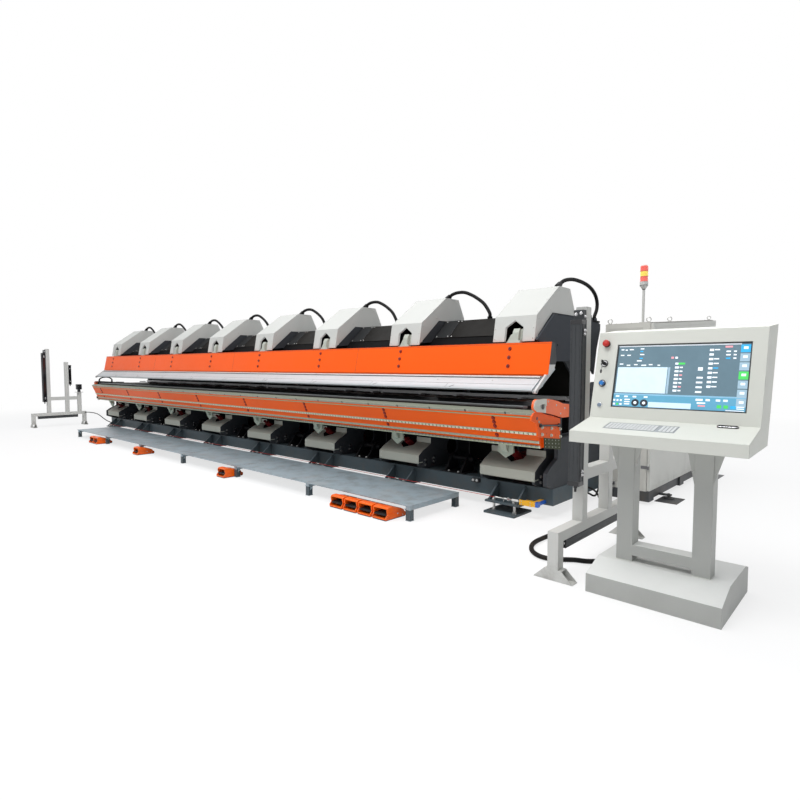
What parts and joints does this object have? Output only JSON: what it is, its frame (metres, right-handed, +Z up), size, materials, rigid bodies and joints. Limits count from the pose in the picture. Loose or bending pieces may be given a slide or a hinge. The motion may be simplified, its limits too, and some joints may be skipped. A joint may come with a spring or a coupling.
{
  "type": "sheet metal folder",
  "caption": "Long double folding machine for sheet metal with upper and lower folding beams, clamp heads, control desk, light curtain stands, operator step and cabinet.",
  "frame": {"origin": "on the floor below the middle of the machine's base", "axes": "+X along the folding beams towards the control desk, -Y towards the operator, +Z up"},
  "size_m": [13.594, 4.768, 2.329],
  "materials": {
    "orange_paint": "bright orange enamel, semi gloss",
    "cover_paint": "pale grey powder coat, fine orange peel",
    "dark_paint": "dark grey structural paint",
    "black_paint": "black structural paint",
    "base_paint": "blue grey structural paint",
    "step_paint": "light blue grey paint on steel plate",
    "desk_paint": "pale warm grey powder coat",
    "stand_paint": "mid grey powder coat",
    "ground_steel": "ground steel, lengthwise grain",
    "strip_metal": "anodised guard strips",
    "table_wood": "dark stained support slats on steel rails",
    "drive_red": "dark red gear unit paint",
    "bolt_steel": "zinc plated fasteners",
    "chrome": "hard chrome pins and rods",
    "signal_red": "red plastic",
    "signal_blue": "blue plastic",
    "signal_yellow": "yellow plastic",
    "rope_red": "red plastic sheathed rope",
    "pedal_orange": "orange cast hood on a black rubber base",
    "black_plastic": "black plastic and rubber",
    "lamp_plastic": "coloured lamp lenses",
    "screen_glass": "lit touch screen",
    "key_white": "white keyboard",
    "cabinet_paint": "warm grey cabinet paint",
    "plinth_paint": "dark grey plinth paint",
    "hose_black": "black corrugated hose"
  },
  "bodies": {
    "root": {"base_frame": "base_paint", "foot_plates": "base_paint", "root_fasteners": "bolt_steel", "lower_arms": "dark_paint", "end_frames": "dark_paint", "lower_covers": "cover_paint", "lower_clamp_beam": "black_paint", "lower_jaw": "ground_steel", "support_table": "table_wood", "lower_drives": "drive_red", "pivot_pins": "chrome", "end_noses": "orange_paint", "step_deck": "step_paint", "step_posts": "base_paint", "pull_rope": "rope_red", "rope_switch": "signal_yellow", "pedals": "pedal_orange", "desk_stand": "desk_paint", "desk_housing": "desk_paint", "desk_screen": "screen_glass", "keyboard": "key_white", "control_collars": "chrome", "stands": "stand_paint", "light_curtains": "dark_paint", "cabinet_bodies": "cabinet_paint", "cabinet_plinth": "plinth_paint", "stack_pole": "stand_paint", "stack_lamps": "lamp_plastic", "floor_hoses": "hose_black"},
    "upper_clamp": {"upper_frame": "black_paint", "upper_arms": "dark_paint", "upper_jaw": "ground_steel", "upper_covers": "cover_paint", "upper_drives": "dark_paint", "top_hoses": "hose_black"},
    "upper_fold": {"upper_fold_beam": "orange_paint", "upper_fold_blade": "ground_steel", "upper_levers": "cover_paint", "upper_bolts": "signal_red"},
    "lower_fold": {"lower_fold_beam": "orange_paint", "lower_fold_strips": "strip_metal", "lower_levers": "cover_paint", "lower_bolts": "bolt_steel", "fold_cheeks": "orange_paint"},
    "barrels": {"clamp_barrels": "dark_paint"},
    "rods": {"clamp_rods": "chrome"},
    "gauge": {"back_gauge": "ground_steel"},
    "door_1": {"cabinet_door_1": "cabinet_paint"},
    "door_2": {"cabinet_door_2": "cabinet_paint"},
    "estop": {"estop_button": "signal_red"},
    "key": {"key_switch": "black_plastic"},
    "start_button": {"blue_button": "signal_blue"},
    "treadle_1": {"treadle_1": "black_plastic"},
    "treadle_2": {"treadle_2": "black_plastic"},
    "treadle_3": {"treadle_3": "black_plastic"},
    "treadle_4": {"treadle_4": "black_plastic"},
    "treadle_5": {"treadle_5": "black_plastic"},
    "treadle_6": {"treadle_6": "black_plastic"},
    "treadle_7": {"treadle_7": "black_plastic"},
    "treadle_8": {"treadle_8": "black_plastic"}
  },
  "joints": [
    {"name": "clamp", "type": "hinge", "parent": "root", "child": "upper_clamp", "pos_m": [0, 0.3, 1.067], "axis": [1, 0, 0], "range_deg": [0, 5.9]},
    {"name": "fold_upper", "type": "hinge", "parent": "upper_clamp", "child": "upper_fold", "pos_m": [0, -0.88499, 1.12816], "axis": [1, 0, 0], "range_deg": [0, 135]},
    {"name": "fold_lower", "type": "hinge", "parent": "root", "child": "lower_fold", "pos_m": [0, -0.885, 1.006], "axis": [1, 0, 0], "range_deg": [-135, 0]},
    {"name": "cylinder_swing", "type": "hinge", "parent": "root", "child": "barrels", "pos_m": [0, 0.48, 0.52], "axis": [1, 0, 0], "range_deg": [-0.1, 1.61]},
    {"name": "cylinder_stroke", "type": "slide", "parent": "barrels", "child": "rods", "axis": [0, 0, 1], "range_m": [-0.001, 0.0188]},
    {"name": "gauge_travel", "type": "slide", "parent": "root", "child": "gauge", "axis": [0, 1, 0], "range_m": [-0.55, 0]},
    {"name": "door_1_hinge", "type": "hinge", "parent": "root", "child": "door_1", "pos_m": [5.559, 0.446, 0.9], "axis": [0, 0, -1], "range_deg": [0, 120]},
    {"name": "door_2_hinge", "type": "hinge", "parent": "root", "child": "door_2", "pos_m": [5.559, 2.806, 0.9], "axis": [0, 0, 1], "range_deg": [0, 120]},
    {"name": "estop_travel", "type": "slide", "parent": "root", "child": "estop", "axis": [0, 0.9677, -0.252], "range_m": [0, 0.005]},
    {"name": "key_turn", "type": "hinge", "parent": "root", "child": "key", "pos_m": [5.932, -1.58082, 1.35684], "axis": [0, -0.9677, 0.252], "range_deg": [-90, 0]},
    {"name": "start_travel", "type": "slide", "parent": "root", "child": "start_button", "axis": [0, 0.9677, -0.252], "range_m": [0, 0.004], "stiffness_N_per_m": 500, "springref_m": -0.004},
    {"name": "treadle_1_tilt", "type": "hinge", "parent": "root", "child": "treadle_1", "pos_m": [3.4205, -1.512, 0.044], "axis": [1, 0, 0], "range_deg": [0, 8], "stiffness_Nm_per_rad": 20, "springref_deg": -5.73},
    {"name": "treadle_2_tilt", "type": "hinge", "parent": "root", "child": "treadle_2", "pos_m": [3.6135, -1.512, 0.044], "axis": [1, 0, 0], "range_deg": [0, 8], "stiffness_Nm_per_rad": 20, "springref_deg": -5.73},
    {"name": "treadle_3_tilt", "type": "hinge", "parent": "root", "child": "treadle_3", "pos_m": [3.8065, -1.512, 0.044], "axis": [1, 0, 0], "range_deg": [0, 8], "stiffness_Nm_per_rad": 20, "springref_deg": -5.73},
    {"name": "treadle_4_tilt", "type": "hinge", "parent": "root", "child": "treadle_4", "pos_m": [3.9995, -1.512, 0.044], "axis": [1, 0, 0], "range_deg": [0, 8], "stiffness_Nm_per_rad": 20, "springref_deg": -5.73},
    {"name": "treadle_5_tilt", "type": "hinge", "parent": "root", "child": "treadle_5", "pos_m": [1.3, -1.512, 0.044], "axis": [1, 0, 0], "range_deg": [0, 8], "stiffness_Nm_per_rad": 20, "springref_deg": -5.73},
    {"name": "treadle_6_tilt", "type": "hinge", "parent": "root", "child": "treadle_6", "pos_m": [-1.222, -1.512, 0.044], "axis": [1, 0, 0], "range_deg": [0, 8], "stiffness_Nm_per_rad": 20, "springref_deg": -5.73},
    {"name": "treadle_7_tilt", "type": "hinge", "parent": "root", "child": "treadle_7", "pos_m": [-3.1215, -1.512, 0.044], "axis": [1, 0, 0], "range_deg": [0, 8], "stiffness_Nm_per_rad": 20, "springref_deg": -5.73},
    {"name": "treadle_8_tilt", "type": "hinge", "parent": "root", "child": "treadle_8", "pos_m": [-2.9285, -1.512, 0.044], "axis": [1, 0, 0], "range_deg": [0, 8], "stiffness_Nm_per_rad": 20, "springref_deg": -5.73}
  ],
  "couplings": [
    {"joint": "cylinder_swing", "follows": "clamp", "ratio": 0.25571},
    {"joint": "cylinder_stroke", "follows": "clamp", "m_per_rad": 0.17283}
  ]
}
